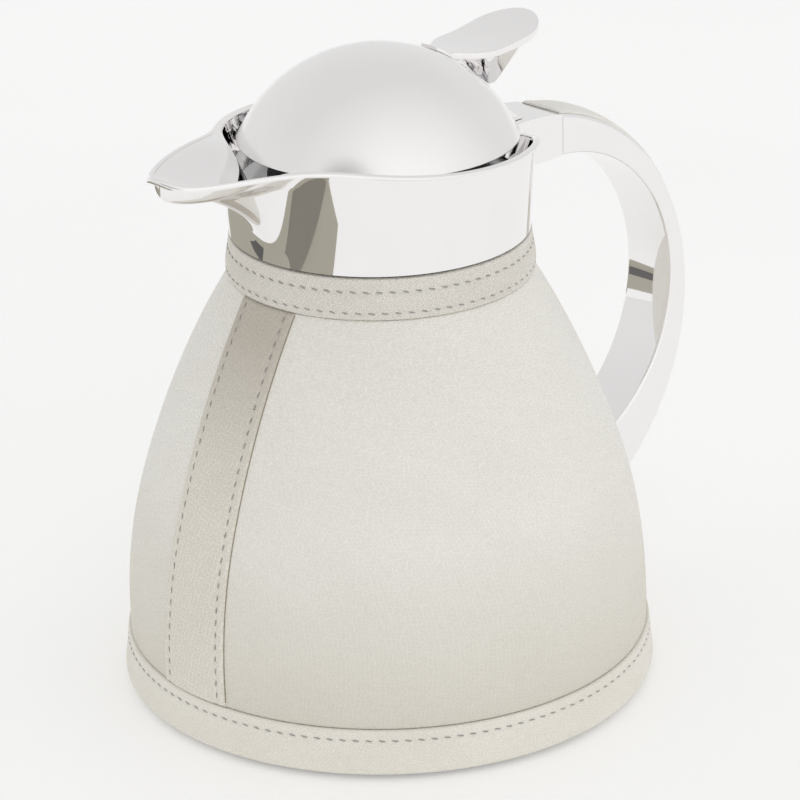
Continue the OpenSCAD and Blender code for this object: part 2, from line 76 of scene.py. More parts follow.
class Nodes:
    """A short way to write a material's node tree."""

    def __init__(self, tree):
        self.tree = tree

    def add(self, kind, values=(), **props):
        node = self.tree.nodes.new(kind)
        for key, value in props.items():
            setattr(node, key, value)
        for key, value in dict(values).items():
            if isinstance(value, bpy.types.NodeSocket):
                self.tree.links.new(value, node.inputs[key])
            else:
                node.inputs[key].default_value = value
        return node

    def math(self, operation, a, b):
        return self.add("ShaderNodeMath", {0: a, 1: b}, operation=operation).outputs[0]

    def ramp(self, factor, stops, smooth=True):
        """Colour ramp; each stop is (position, grey or colour)."""
        node = self.add("ShaderNodeValToRGB", {"Fac": factor})
        node.color_ramp.interpolation = "EASE" if smooth else "LINEAR"
        elements = node.color_ramp.elements
        while len(elements) < len(stops):
            elements.new(0.5)
        for element, (position, colour) in zip(elements, stops):
            element.position = position
            element.color = (*colour, 1) if isinstance(colour, tuple) else (colour, colour, colour, 1)
        return node.outputs["Color"]

    def mix(self, factor, a, b):
        node = self.add("ShaderNodeMix", data_type="RGBA")
        for index, value in ((0, factor), (6, a), (7, b)):
            if isinstance(value, bpy.types.NodeSocket):
                self.tree.links.new(value, node.inputs[index])
            elif index == 0:
                node.inputs[index].default_value = value
            else:
                node.inputs[index].default_value = (*value, 1)
        return node.outputs[2]

    def noise(self, vector, scale, detail=3.0, rough=0.55):
        node = self.add("ShaderNodeTexNoise", {"Vector": vector, "Scale": scale, "Detail": detail,
                                               "Roughness": rough})
        return node.outputs["Fac"]

    def bump(self, height, distance):
        values = {"Height": height, "Distance": distance, "Strength": 1.0}
        return self.add("ShaderNodeBump", values).outputs["Normal"]


def material(name, **values):
    """A new Principled material: (material, its nodes, its shader). Values are its plain numbers."""
    made = bpy.data.materials.new(name)
    made.use_nodes = True
    nodes = Nodes(made.node_tree)
    shader = made.node_tree.nodes["Principled BSDF"]
    for key, value in values.items():
        shader.inputs[key.replace("_", " ")].default_value = value
    return made, nodes, shader


def link(nodes, output, shader, name):
    nodes.tree.links.new(output, shader.inputs[name])


# ---------------------------------------------------------------- materials

def surface_mm(nodes):
    """Place on a piece's own surface in millimetres: along, across."""
    return nodes.add("ShaderNodeUVMap", uv_map="surface").outputs["UV"]


def object_mm(nodes):
    where = nodes.add("ShaderNodeTexCoord").outputs["Object"]
    return nodes.add("ShaderNodeVectorMath", {0: where, "Scale": 1000.0}, operation="SCALE").outputs[0]


TONE_SPAN = 120.0   # height over which the leather's painted shade and bounced light change, in millimetres
# painted light: a browner tone for bounced light and shade near the foot, and one for shade near the neck
FOOT_BOUNCE_TONE, SHADED_TONE = (0.62, 0.575, 0.47), (0.36, 0.31, 0.25)


def leather(name, light, shade, pitch, stretch, turn, depth, contrast, foot_bounce=0.0, shaded=0.0):
    """Printed leather: a net of fine ridges round small pits. The last two arguments are the shares of a
    browner tone mixed in towards the foot and towards the neck: painted bounced light and painted shade, not
    dye."""
    made, nodes, shader = material(name, IOR=1.46, Sheen_Weight=0.08, Sheen_Roughness=0.5)
    place = nodes.add("ShaderNodeMapping", {"Vector": surface_mm(nodes),
                                            "Rotation": (0, 0, math.radians(turn)),
                                            "Scale": (1.0 / pitch, 1.0 / (pitch * stretch), 1)}).outputs[0]
    wander = nodes.add("ShaderNodeTexNoise", {"Vector": place, "Scale": 0.35, "Detail": 2.0}).outputs["Color"]
    moved = nodes.add("ShaderNodeVectorMath", {0: wander, 1: (0.5, 0.5, 0.5)},
                      operation="SUBTRACT").outputs[0]
    moved = nodes.add("ShaderNodeVectorMath", {0: moved, "Scale": 0.9}, operation="SCALE").outputs[0]
    place = nodes.add("ShaderNodeVectorMath", {0: place, 1: moved}, operation="ADD").outputs[0]
    edges = nodes.add("ShaderNodeTexVoronoi", {"Vector": place, "Scale": 1.0, "Randomness": 0.62},
                      voronoi_dimensions="2D", feature="DISTANCE_TO_EDGE").outputs["Distance"]
    ridges = nodes.ramp(edges, [(0.05, 1.0), (0.24, 0.0)])
    fine = nodes.noise(place, 6.0, 4.0, 0.6)
    broad = nodes.noise(place, 0.045, 3.0, 0.5)
    cloud = nodes.noise(place, 0.4, 3.0, 0.5)
    height = nodes.math("ADD", nodes.math("MULTIPLY", ridges, 0.75), nodes.math("MULTIPLY", fine, 0.30))
    link(nodes, nodes.bump(height, depth * MM), shader, "Normal")

    tone = nodes.ramp(broad, [(0.30, 0.0), (0.70, 1.0)])
    colour = nodes.mix(tone, light, shade)
    colour = nodes.mix(nodes.math("MULTIPLY", nodes.ramp(cloud, [(0.35, 0.0), (0.75, 1.0)]), 0.12),
                       colour, tuple(c * 0.93 for c in shade))
    # painted shade and bounced light: a browner tone mixed in by height, towards the foot and towards the
    # neck
    if foot_bounce or shaded:
        height_mm = nodes.add("ShaderNodeSeparateXYZ", {"Vector": object_mm(nodes)}).outputs["Z"]
        tone = nodes.ramp(nodes.math("DIVIDE", height_mm, TONE_SPAN),
                          [(0.10, foot_bounce), (0.55, 0.0), (0.68, shaded * 0.15), (0.95, shaded)], smooth=False)
        colour = nodes.mix(tone, colour, SHADED_TONE if shaded else FOOT_BOUNCE_TONE)
    dark = nodes.math("MULTIPLY", nodes.math("SUBTRACT", 1.0, ridges), 0.16 * contrast)
    colour = nodes.mix(dark, colour, tuple(c * f for c, f in zip(shade, (0.58, 0.55, 0.50))))
    worn = nodes.ramp(nodes.noise(place, 1.7, 5.0, 0.7), [(0.60, 0.0), (0.78, 0.10)])
    colour = nodes.mix(worn, colour, (0.62, 0.55, 0.44))
    link(nodes, colour, shader, "Base Color")
    pitted = nodes.math("MULTIPLY", nodes.math("SUBTRACT", 1.0, ridges), 0.14)
    rough = nodes.math("ADD", nodes.math("MULTIPLY", fine, 0.16), nodes.math("ADD", 0.40, pitted))
    link(nodes, rough, shader, "Roughness")
    return made


def metal(name, colour, rough, haze, grain=0.0):
    """Plated or plain metal with faint smears, fine wipe marks and an uneven polish."""
    made, nodes, shader = material(name, Metallic=1.0)
    place = object_mm(nodes)
    smear = nodes.noise(place, 0.07, 4.0, 0.6)
    wipes = nodes.add("ShaderNodeMapping", {"Vector": place, "Rotation": (0.3, 0.2, 0.9),
                                            "Scale": (0.05, 1.6, 0.4)}).outputs[0]
    marks = nodes.noise(wipes, 1.0, 5.0, 0.65)
    uneven = nodes.math("ADD", nodes.math("MULTIPLY", nodes.ramp(smear, [(0.45, 0.0), (0.80, 1.0)]), haze),
                        nodes.math("MULTIPLY", nodes.ramp(marks, [(0.55, 0.0), (0.85, 1.0)]), haze * 0.6))
    link(nodes, nodes.math("ADD", uneven, rough), shader, "Roughness")
    tint = nodes.mix(nodes.math("MULTIPLY", smear, 0.5), colour, tuple(c * 0.93 for c in colour))
    link(nodes, tint, shader, "Base Color")
    if grain:
        height = nodes.math("MULTIPLY", nodes.noise(place, 3.5, 3.0, 0.7), grain)
        link(nodes, nodes.bump(height, MM), shader, "Normal")
    return made


def moulded(name, colour, rough, speck=0.03):
    """Moulded rubber or plastic with a fine spark-eroded skin and a little dust."""
    made, nodes, shader = material(name)
    place = object_mm(nodes)
    skin = nodes.noise(place, 2.2, 4.0, 0.6)
    dust = nodes.ramp(nodes.noise(place, 0.12, 5.0, 0.6), [(0.45, 0.0), (0.80, 1.0)])
    dusty = tuple(min(1.0, c * 1.6 + 0.02) for c in colour)
    shade = nodes.mix(nodes.math("MULTIPLY", dust, 0.35), colour, dusty)
    link(nodes, shade, shader, "Base Color")
    link(nodes, nodes.math("ADD", nodes.math("MULTIPLY", skin, 0.18), rough), shader, "Roughness")
    link(nodes, nodes.bump(skin, speck * MM), shader, "Normal")
    return made


CREAM, CREAM_SHADE = (0.925, 0.905, 0.850), (0.900, 0.878, 0.818)
BAND, BAND_SHADE = (0.940, 0.905, 0.835), (0.895, 0.858, 0.785)
# the front strip is the same cream leather as the body; its darker, browner colours are painted shade
STRIP, STRIP_SHADE = (0.880, 0.840, 0.755), (0.850, 0.808, 0.720)
HEM, HEM_SHADE = (0.945, 0.910, 0.830), (0.910, 0.872, 0.785)
# the body and the handle's inlay get painted bounced light and shade towards the foot, the strip painted
# shade towards the neck
body_skin = leather("body_skin", CREAM, CREAM_SHADE, pitch=1.30, stretch=0.9, turn=8, depth=0.12,
                    contrast=0.80, foot_bounce=0.62)
strip_skin = leather("strip_skin", STRIP, STRIP_SHADE, pitch=1.45, stretch=0.85, turn=-12, depth=0.17,
                     contrast=1.6, shaded=0.55)
band_skin = leather("band_skin", BAND, BAND_SHADE, pitch=1.20, stretch=0.5, turn=28, depth=0.20, contrast=1.8)
hem_skin = leather("hem_skin", HEM, HEM_SHADE, pitch=1.10, stretch=0.6, turn=30, depth=0.13, contrast=1.2)
chrome = metal("chrome", (0.935, 0.922, 0.918), 0.025, haze=0.05)
satin = metal("satin_chrome", (0.93, 0.918, 0.912), 0.20, haze=0.05, grain=0.007)
satin_steel = metal("satin_steel", (0.50, 0.50, 0.50), 0.16, haze=0.08, grain=0.004)
steel = metal("steel", (0.60, 0.60, 0.61), 0.24, haze=0.12, grain=0.02)
spring_steel = metal("spring_steel", (0.52, 0.52, 0.54), 0.20, haze=0.10)
silvered = metal("silvered_glass", (0.86, 0.84, 0.80), 0.04, haze=0.03)
rubber = moulded("rubber", (0.030, 0.030, 0.032), 0.55)
plastic = moulded("plastic", (0.022, 0.022, 0.024), 0.38, speck=0.015)
# painted shadow: dark brown for the thin line along the front strip's edges
edge_shadow = moulded("edge_shadow", (0.30, 0.26, 0.19), 0.55)


def thread_material():
    made, nodes, shader = material("thread", Roughness=0.72, Sheen_Weight=0.3)
    place = nodes.add("ShaderNodeMapping", {"Vector": surface_mm(nodes), "Rotation": (0, 0, 0.7),
                                            "Scale": (3.2, 3.2, 1)}).outputs[0]
    twist = nodes.add("ShaderNodeTexWave", {"Vector": place, "Scale": 1.0, "Distortion": 0.6},
                      bands_direction="X").outputs["Fac"]
    link(nodes, nodes.mix(twist, (0.42, 0.41, 0.40), (0.58, 0.565, 0.55)), shader, "Base Color")
    link(nodes, nodes.bump(twist, 0.06 * MM), shader, "Normal")
    return made


thread = thread_material()


# ---------------------------------------------------------------- mesh helpers

def finish_piece(name, verts, faces, skin, body, uvs=None, sharp=None, slot=None, replaced=()):
    """A named mesh piece from points in millimetres, riding on a body."""
    mesh = bpy.data.meshes.new(name)
    mesh.from_pydata((np.asarray(verts, float) * MM).tolist(), [], faces)
    mesh.validate()
    mesh.shade_smooth()
    if uvs is not None:
        layer = mesh.uv_layers.new(name="surface")
        corner = np.empty(len(mesh.loops), np.int32)
        mesh.loops.foreach_get("vertex_index", corner)
        layer.data.foreach_set("uv", np.asarray(uvs, np.float32)[corner].ravel())
    if sharp is not None:
        mesh.set_sharp_from_angle(angle=math.radians(sharp))
    mesh.materials.append(skin)
    made = bpy.data.objects.new(name, mesh)
    bpy.context.collection.objects.link(made)
    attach(made, body)
    if replaced:
        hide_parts(*replaced)
    return made


def grid_faces(rows, columns, wrap_rows=False, wrap_columns=False, first=0, flip=False):
    """Quads of a grid whose points are numbered row by row."""
    i = np.arange(rows if wrap_rows else rows - 1)
    j = np.arange(columns if wrap_columns else columns - 1)
    i, j = np.meshgrid(i, j, indexing="ij")
    i, j = i.ravel(), j.ravel()
    a, b = i * columns + j, i * columns + (j + 1) % columns
    c, d = ((i + 1) % rows) * columns + (j + 1) % columns, ((i + 1) % rows) * columns + j
    order = (a, d, c, b) if flip else (a, b, c, d)
    return (np.stack(order, 1) + first).tolist()


def rounded(points, radii, steps=5):
    """A closed or open outline in two dimensions with its inner corners rounded. radii is one per point."""
    made = []
    for k, (point, radius) in enumerate(zip(points, radii)):
        p = np.array(point, float)
        if radius <= 0 or k in (0, len(points) - 1):
            made.append(p)
            continue
        a, b = np.array(points[k - 1], float) - p, np.array(points[k + 1], float) - p
        la, lb = np.linalg.norm(a), np.linalg.norm(b)
        reach = min(radius, 0.49 * la, 0.49 * lb)
        start, end = p + a / la * reach, p + b / lb * reach
        for t in np.linspace(0, 1, steps + 1):
            made.append(start * (1 - t) ** 2 + 2 * p * t * (1 - t) + end * t * t)
    return np.array(made)


def spaced(outline, pitch):
    """The same open outline with points added so that no step is longer than pitch."""
    outline = np.asarray(outline, float)
    made = [outline[0]]
    for a, b in zip(outline[:-1], outline[1:]):
        n = max(1, int(math.ceil(np.linalg.norm(b - a) / pitch)))
        made += [a + (b - a) * k / n for k in range(1, n + 1)]
    return np.array(made)


def lengths(points):
    """Distance along a row of points."""
    step = np.linalg.norm(np.diff(points, axis=0), axis=1)
    return np.concatenate([[0], np.cumsum(step)])


def turned(name, outline, skin, body, count, start_deg=0.0, bulge=None, **rest):
    """A closed ring turned about Z from a closed outline of (radius, height), split where it starts.
    The surface place is (arc length at that radius, length along the outline)."""
    outline = np.asarray(outline, float)
    if np.linalg.norm(outline[0] - outline[-1]) > 1e-6:
        outline = np.vstack([outline, outline[:1]])
    along = lengths(outline)
    turn = np.radians(start_deg) + np.linspace(0, 2 * math.pi, count + 1)
    p, r = np.meshgrid(turn, outline[:, 0], indexing="ij")
    z = np.broadcast_to(outline[:, 1], p.shape)
    verts = np.stack([r * np.cos(p), r * np.sin(p), z], -1)
    if bulge is not None:
        verts = bulge(verts, p, r, z)
    u = (p - np.radians(start_deg) - math.pi) * r
    v = np.broadcast_to(along, p.shape)
    faces = grid_faces(count + 1, len(outline), flip=True)
    made = finish_piece(name, verts.reshape(-1, 3), faces, skin, body,
                        np.stack([u, v], -1).reshape(-1, 2), **rest)
    weld(made)
    return made


def weld(obj):
    """Joins points that lie on each other. The surface places stay split: they are kept per corner."""
    bm = bmesh.new()
    bm.from_mesh(obj.data)
    bmesh.ops.remove_doubles(bm, verts=bm.verts, dist=1e-6)
    bm.to_mesh(obj.data)
    bm.free()
    obj.data.update()


# ---------------------------------------------------------------- bell profile, as in the part's source

BELLY_R, BELLY_Z = 75.0, 21.0
LOWER_R, UPPER_R = 150.0, 250.0
CHANGE = math.radians(17)
LOWER_X = BELLY_R - LOWER_R
UPPER_X = LOWER_X + (LOWER_R - UPPER_R) * math.cos(CHANGE)
UPPER_Z = BELLY_Z + (LOWER_R - UPPER_R) * math.sin(CHANGE)
CHANGE_Z = BELLY_Z + LOWER_R * math.sin(CHANGE)
LEATHER_T = 1.6
HEM_Z, BAND_Z, COLLAR_Z = 15.0, 122.0, 134.3
COLLAR_R, NECK_R, FOOT_R = 42.2, 40.6, 77.0
STRIP_LOW, STRIP_HIGH, STRIP_T = 25.0, 20.5, 0.95   # front strip: width at foot and neck, thickness


def bell_r(z, out=0.0):
    """Radius of the leather surface at a height, pushed out by a distance along its normal, roughly."""
    z = np.asarray(z, float)
    low = LOWER_X + np.sqrt(np.maximum((LOWER_R + out) ** 2 - (z - BELLY_Z) ** 2, 0))
    high = UPPER_X + np.sqrt(np.maximum((UPPER_R + out) ** 2 - (z - UPPER_Z) ** 2, 0))
    change_z = BELLY_Z + (LOWER_R + out) * math.sin(CHANGE)
    return np.where(z <= BELLY_Z, BELLY_R + out, np.where(z < change_z, low, high))


def bell_slope(z):
    """Outward normal (radial, up) of the leather surface at a height."""
    z = np.asarray(z, float)
    angle = np.where(z <= BELLY_Z, 0.0,
                     np.where(z < CHANGE_Z, np.arcsin(np.clip((z - BELLY_Z) / LOWER_R, -1, 1)),
                              np.arcsin(np.clip((z - UPPER_Z) / UPPER_R, -1, 1))))
    return np.cos(angle), np.sin(angle)


# ---------------------------------------------------------------- body leather

def body_leather():
    """The big cream panel, one closed skin round the bell. Its surface places start under the front strip."""
    heights = np.linspace(HEM_Z + 0.1, BAND_Z - 0.05, 96)
    outer = np.stack([bell_r(heights), heights], 1)
    inner = np.stack([bell_r(heights, -LEATHER_T), heights], 1)[::-1]
    outline = np.vstack([rounded([outer[0] - (0.7, 0), outer[0], outer[1]], [0, 0.6, 0])[:-1], outer[1:-1],
                         rounded([outer[-2], outer[-1], inner[0]], [0, 0.5, 0]), inner[1:]])

    def soft(verts, p, r, z):
        ripple = 0.10 * np.sin(3 * p + 0.04 * z) * np.sin(0.055 * (z - HEM_Z)) \
            + 0.05 * np.sin(7 * p + 0.09 * z + 1.3)
        near = np.clip(np.minimum(z - HEM_Z, BAND_Z - z) / 12, 0, 1)
        near = near * np.clip((r * np.arccos(-np.cos(p)) - STRIP_LOW / 2 - 2) / 10, 0, 1)
        push = (ripple * near)[..., None] - 0.02
        out = np.stack([np.cos(p), np.sin(p), np.zeros_like(p)], -1)
        return verts + out * push

    return turned("body_leather", outline, body_skin, "carafe", count=320, start_deg=180, bulge=soft,
                  slot="leather_body", replaced=["body_leather"])


# ---------------------------------------------------------------- stitched trim

STITCH_PITCH = 3.6
STITCH_R = 0.19
STITCH_HALF = 0.29                      # half a stitch, as a share of the pitch
STITCH_RISE, STITCH_SINK = 0.24, 0.15   # crown of a thread's middle line, and how deep its ends lie
LEAN_SPREAD = 0.02                      # unevenness of the stitches' lean, in radians


def stitches(name, path, normal, body, slant):
    """Saddle stitches along a path: short round threads that dive into the leather at both ends.
    path(s) and normal(s) give a point and the outward direction at a length s; path.total is the length."""
    total = path.total
    count = int(round(total / STITCH_PITCH))
    pitch = total / count
    verts, faces, places = [], [], []
    rings, sides = 9, 7
    for k in range(count):
        s0 = (k + 0.5) * pitch
        half = pitch * STITCH_HALF
        out = normal(s0)
        ahead = path(s0 + 0.05) - path(s0 - 0.05)
        ahead /= np.linalg.norm(ahead)
        across = np.cross(out, ahead)
        lean = slant + rng.normal(0, LEAN_SPREAD)
        base = len(verts)
        for i in range(rings):
            t = -1 + 2 * i / (rings - 1)
            rise = STITCH_RISE * (1 - abs(t) ** 2.6) - STITCH_SINK
            centre = path(s0 + half * t * math.cos(lean)) + across * (half * t * math.sin(lean)) + out * rise
            radius = STITCH_R * (1 - 0.35 * abs(t) ** 3)
            for j in range(sides):
                a = 2 * math.pi * j / sides
                verts.append(centre + radius * (math.cos(a) * across + math.sin(a) * out))
                places.append((half * t, radius * a))
        faces += grid_faces(rings, sides, wrap_columns=True, first=base)
        faces.append([base + j for j in range(sides)])
        faces.append([base + (rings - 1) * sides + j for j in reversed(range(sides))])
    return finish_piece(name, verts, faces, thread, body, places, slot="leather_trim")


class RingPath:
    """A level ring at a height, on a surface of given radius."""

    def __init__(self, radius, height):
        self.radius, self.height = radius, height
        self.total = 2 * math.pi * radius

    def __call__(self, s):
        a = s / self.radius
        return np.array([self.radius * math.cos(a), self.radius * math.sin(a), self.height])


def ring_normal(path, up):
    def normal(s):
        a = s / path.radius
        n = np.array([math.cos(a), math.sin(a), up])
        return n / np.linalg.norm(n)
    return normal


SEAM_IN = 2.5       # stitch rows lie this far inside an edge


def strip_half(z):
    return (STRIP_LOW + (STRIP_HIGH - STRIP_LOW) * (z - HEM_Z) / (BAND_Z - HEM_Z)) / 2


def strip_lift(inside):
    """Height of the strip's surface above the body at a distance inside its edge."""
    inside = np.asarray(inside, float)
    edge = np.clip(inside / 0.7, 0, 1)
    lift = STRIP_T * np.sqrt(1 - (1 - edge) ** 2)
    groove = 0.26 * np.exp(-((inside - SEAM_IN) / 0.55) ** 2)
    swell = 0.16 * np.clip((inside - SEAM_IN) / 4, 0, 1) ** 0.7
    return lift - groove + swell - 0.12


def on_bell(y, z, lift):
    """Point on the front of the bell, sideways y, pushed out by lift along the surface normal."""
    nr, nz = bell_slope(z)
    r = bell_r(z) + lift * nr
    return np.stack([-np.sqrt(np.maximum(r * r - y * y, 0)), y + 0 * r, z + lift * nz], -1)


def cord(name, path, radius):
    """Dark line laid along a path, closed at both ends: painted shadow of the gap at the front strip's edge.
    """
    sides = 8
    ahead = np.gradient(path, axis=0)
    ahead /= np.linalg.norm(ahead, axis=1)[:, None]
    out = np.cross(ahead, np.cross(path * (1, 1, 0), ahead))
    out /= np.linalg.norm(out, axis=1)[:, None]
    across = np.cross(ahead, out)
    a = np.linspace(0, 2 * math.pi, sides, endpoint=False)[None, :, None]
    verts = path[:, None] + radius * (np.cos(a) * across[:, None] + np.sin(a) * out[:, None])
    n = len(path)
    faces = grid_faces(n, sides, wrap_columns=True) \
        + [list(range(sides)), [(n - 1) * sides + j for j in reversed(range(sides))]]
    finish_piece(name, verts.reshape(-1, 3), faces, edge_shadow, "carafe", slot="leather_trim")


def front_strip():
    heights = np.linspace(HEM_Z + 0.12, BAND_Z - 0.1, 220)
    edge = np.concatenate([0.7 * (1 - np.cos(np.linspace(0, math.pi / 2, 7))),
                           np.linspace(0.95, SEAM_IN - 0.9, 4), SEAM_IN + np.linspace(-0.8, 0.8, 9)])
    rows, places = [], []
    for z in heights:
        half = float(strip_half(z))
        share = np.concatenate([edge, np.linspace(SEAM_IN + 1.4, half, 12)])
        y = np.concatenate([share - half, (half - share)[::-1][1:]])
        depth = half - np.abs(y)
        end = min(z - heights[0], heights[-1] - z)
        lift = strip_lift(depth)
        lift = lift * math.sqrt(1 - (1 - min(end / 0.6, 1)) ** 2)
        zz = np.full_like(y, z)
        rows.append(on_bell(y, zz, lift))
        places.append(np.stack([y, zz], -1))
    top = np.array(rows)
    n, m = top.shape[:2]
    under = np.array([on_bell(p[:, 0], p[:, 1], -0.35) for p in places])
    verts = np.vstack([top.reshape(-1, 3), under.reshape(-1, 3)])
    uv = np.vstack([np.array(places).reshape(-1, 2)] * 2)
    faces = grid_faces(n, m) + grid_faces(n, m, first=n * m, flip=True)
    rim = [i * m for i in range(n)] + [(n - 1) * m + j for j in range(1, m)] \
        + [i * m + m - 1 for i in range(n - 2, -1, -1)] + list(range(m - 2, 0, -1))
    for a, b in zip(rim, rim[1:] + rim[:1]):
        faces.append([b, a, a + n * m, b + n * m])
    piece = finish_piece("front_strip", verts, faces, strip_skin, "carafe", uv, slot="leather_trim",
                         replaced=["front_strip"])
    for side, word in ((-1, "left"), (1, "right")):
        low, high = HEM_Z + 1.5, BAND_Z - 0.6
        zs = np.linspace(low, high, 400)
        line = on_bell(side * (strip_half(zs) - SEAM_IN), zs, strip_lift(SEAM_IN))
        s_of = lengths(line)

        class Line:
            total = s_of[-1]

            def __call__(self, s):
                return np.array([np.interp(s, s_of, line[:, k]) for k in range(3)])

        def normal(s):
            z = np.interp(s, s_of, zs)
            p = [np.interp(s, s_of, line[:, k]) for k in range(2)]
            nr, nz = bell_slope(z)
            r = math.hypot(*p)
            return np.array([p[0] / r * nr, p[1] / r * nr, nz])

        stitches(f"stitches_strip_{word}", Line(), normal, "carafe", slant=0.14 * side)
        # painted shadow: a dark line along each edge of the strip
        cord(f"strip_edge_{word}", on_bell(side * (strip_half(zs) + 0.02), zs, 0.06), 0.15)
    return piece


def groove(outline, heights, depth=0.25, width=0.55):
    """Presses stitch rows into a turned outline at the given heights, on its outer side."""
    outline = np.array(outline, float)
    middle = outline[:, 0].max() - 4
    for h in heights:
        outer = outline[:, 0] > middle
        outline[outer, 0] -= depth * np.exp(-((outline[outer, 1] - h) / width) ** 2)
    return outline


NECK_ROWS = (124.1, 129.9)
HEM_ROW = 11.9


def neck_band():
    low = float(bell_r(BAND_Z)) + 0.7
    high = COLLAR_R + 0.1
    top = COLLAR_Z - 0.7
    points = [(NECK_R + 0.1, BAND_Z + 0.5), (low - 1.8, BAND_Z + 0.15), (low - 0.1, BAND_Z + 0.12),
              (low + 0.12, BAND_Z + 3.4), (low - 0.25, BAND_Z + 6.0), (high + 0.30, top - 2.4),
              (high + 0.10, top - 0.02), (NECK_R + 0.1, top)]
    outline = spaced(rounded(points, [0, 0.4, 0.55, 3.0, 3.0, 2.6, 0.6, 0]), 0.3)
    outline = groove(outline, NECK_ROWS)
    turned("neck_band", outline, band_skin, "carafe", count=320, slot="leather_trim", replaced=["neck_band"])
    for row, word in zip(NECK_ROWS, ("low", "high")):
        outer = outline[outline[:, 0] > low - 2.2]
        near = outer[np.argmin(abs(outer[:, 1] - row))]
        path = RingPath(near[0], row)
        stitches(f"stitches_neck_{word}", path, ring_normal(path, 0.12), "carafe", slant=-0.22)


def base_band():
    band_r = BELLY_R - LEATHER_T
    edge = 2.4
    arc = [(FOOT_R - edge + edge * math.cos(a), 1.3 + edge + edge * math.sin(a))
           for a in np.radians(np.arange(-90, 1, 10))]
    points = [(band_r, HEM_Z - 0.1), (band_r, 1.3)] + arc \
        + [(BELLY_R + 1.15, HEM_Z - 4.5), (BELLY_R + 0.78, HEM_Z - 0.08), (BELLY_R - 0.9, HEM_Z - 0.1)]
    radii = [0, 0] + [0] * len(arc) + [3, 0.65, 0]
    outline = spaced(rounded(points, radii), 0.35)
    outline = groove(outline, (HEM_ROW,))
    turned("base_band", outline, hem_skin, "carafe", count=384, slot="leather_trim", replaced=["base_band"])
    outer = outline[outline[:, 0] > BELLY_R]
    near = outer[np.argmin(abs(outer[:, 1] - HEM_ROW))]
    path = RingPath(near[0], HEM_ROW)
    stitches("stitches_hem", path, ring_normal(path, 0.05), "carafe", slant=-0.16)


# ---------------------------------------------------------------- collar with spout

RIM_Z, REAR_Z = 161.0, 152.5
SPOUT, SPREAD = 80.7, 19.3
BORE_R, BORE_Z = 40.0, 147.0
BREAK_SHARE, BEAD_FLAT = 0.86, 0.6
TIP_BEAD_R, TIP_Z, TIP_RISE = 1.2, 165.6, 2.4
CREST = 5.1                               # rise of the rim on both sides of the spout
LOW, HIGH, IN = 32, 20, 20                # steps of a section below, above the break and inside
BEAD = np.radians(np.linspace(-25, 165, 16))


def line(a, b, n, first=0):
    a, b = np.array(a, float), np.array(b, float)
    return [a + (b - a) * i / n for i in range(first, n + 1)]


def curve(a, b, c, d, n, first=0):
    a, b, c, d = (np.array(q, float) for q in (a, b, c, d))
    return [a * (1 - t) ** 3 + 3 * b * t * (1 - t) ** 2 + 3 * c * t * t * (1 - t) + d * t ** 3
            for t in (i / n for i in range(first, n + 1))]


def bead(x, z, r, flat=1.0):
    return [np.array([x + r * math.cos(a), z + flat * r * math.sin(a)]) for a in BEAD]


def wall_section(top_r, top_z, bead_r):
    h = BEAD_FLAT * bead_r
    foot, high = np.array([COLLAR_R, COLLAR_Z]), np.array([top_r, top_z - 2 * h])
    middle = foot + (high - foot) * BREAK_SHARE
    return np.array(line(foot, middle, LOW) + line(middle, high, HIGH, 1)
                    + bead(top_r + 0.2, top_z - h, bead_r, BEAD_FLAT)
                    + line([top_r - 0.9, top_z - 1.4 * h], [BORE_R, BORE_Z], 2 * IN)
                    + [np.array([BORE_R, COLLAR_Z])])


def keel_section():
    r, throat, inner_throat = TIP_BEAD_R, [SPOUT - 18.2, 156.8], [SPOUT - 20.7, 160.4]
    return np.array(
        curve([COLLAR_R, COLLAR_Z], [43.5, 146], [51, 151.8], throat, LOW)
        + curve(throat, [SPOUT - 10.7, 160.2], [SPOUT - 2.5, 154.8],
                [SPOUT - 0.7 * r, TIP_Z - 1.7 * r], HIGH, 1)
        + bead(SPOUT - r, TIP_Z - r, r)
        + curve([SPOUT - 2.1 * r, TIP_Z - 1.4 * r], [SPOUT - 5.7, 161.6], [SPOUT - 12.7, 160.6],
                inner_throat, IN)
        + curve(inner_throat, [50, 159.6], [42, 155], [BORE_R, BORE_Z], IN, 1)
        + [np.array([BORE_R, COLLAR_Z])])


def collar():
    """Wall, spout keel and lowered rear, mixed in each direction round the axis."""
    wall, keel, rear = wall_section(43.8, RIM_Z, 1.1), keel_section(), wall_section(42.9, REAR_Z, 0.8)

    def bump(angle, width, power=2.0):
        return np.exp(-(np.abs(angle) / width) ** power)

    inside_z = wall[LOW + HIGH + 1 + len(BEAD):, 1]
    down = np.concatenate([np.sqrt(1 - np.linspace(0, 8, LOW + 1) / 14),
                           np.sqrt(1 - np.linspace(8, 13, HIGH + 1)[1:] / 14), np.zeros(len(BEAD)),
                           4.5 * np.maximum(0, RIM_Z - inside_z) / (RIM_Z - COLLAR_Z)])
    u = np.linspace(-1, 1, 721)[:-1]
    around = 180 * np.sign(u) * np.abs(u) ** 1.5
    k = (bump(around, SPREAD, 1.8)[:, None] ** (1 + 9 * down))[..., None]
    b = bump(180 - np.abs(around), 38)[:, None, None]
    q = wall * (1 - k - b) + keel * k + rear * b
    up = np.clip((q[..., 1] - COLLAR_Z) / (RIM_Z - COLLAR_Z), 0, 1)
    crest = CREST * (bump(around, 60) - bump(around, 14.5))
    tip = TIP_RISE * bump(around, 5)
    z = q[..., 1] + crest[:, None] * up * up + tip[:, None] * (q[..., 0] / SPOUT) ** 8
    c, s = np.cos(np.radians(around))[:, None], np.sin(np.radians(around))[:, None]
    verts = np.stack([-q[..., 0] * c, -q[..., 0] * s, z], -1)
    n, m = verts.shape[:2]
    return finish_piece("collar", verts.reshape(-1, 3), grid_faces(n, m, wrap_rows=True, wrap_columns=True),
                        chrome, "carafe", sharp=48, slot="chrome", replaced=["collar"])


